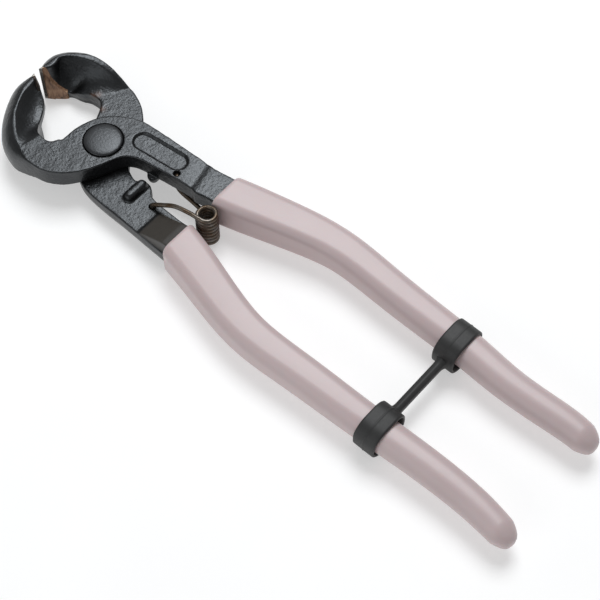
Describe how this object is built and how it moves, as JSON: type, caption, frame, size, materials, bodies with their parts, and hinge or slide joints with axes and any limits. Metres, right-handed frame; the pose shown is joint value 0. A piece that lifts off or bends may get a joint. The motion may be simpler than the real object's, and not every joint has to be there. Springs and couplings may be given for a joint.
{
  "type": "mosaic glass nippers",
  "caption": "Hand nippers for mosaic glass: crossed cast levers on a rivet, carbide-tipped jaws, torsion spring, dipped grips and a keeper strap.",
  "frame": {"origin": "middle of the tool's bounding box, on the plane it lies on", "axes": "+X from the jaws to the handle ends, +Y from the lower lever's handle to the upper lever's, +Z along the pivot, out of the upper lever"},
  "size_m": [0.212, 0.0514, 0.015],
  "materials": {
    "lever": "semi-gloss black paint on a rough casting",
    "carbide": "ground grey carbide",
    "braze": "oxidised copper braze",
    "rivet": "semi-gloss black paint",
    "spring": "oiled spring steel",
    "grip": "satin dusty-pink dipped vinyl",
    "strap": "matt moulded rubber"
  },
  "bodies": {
    "upper": {"upper_lever": "lever", "upper_carbide": "carbide", "upper_braze": "braze", "upper_grip": "grip", "upper_strap_ring": "strap", "return_spring": "spring", "strap_bar": "strap"},
    "lower": {"lower_lever": "lever", "lower_carbide": "carbide", "lower_braze": "braze", "lower_grip": "grip", "lower_strap_ring": "strap", "pivot_rivet": "rivet"}
  },
  "joints": [
    {"name": "pivot", "type": "hinge", "parent": "upper", "child": "lower", "pos_m": [-0.06897, -0.0008, 0.0075], "axis": [0, 0, 1], "range_deg": [-15, 3.5], "deforming": ["return_spring", "strap_bar"]}
  ]
}
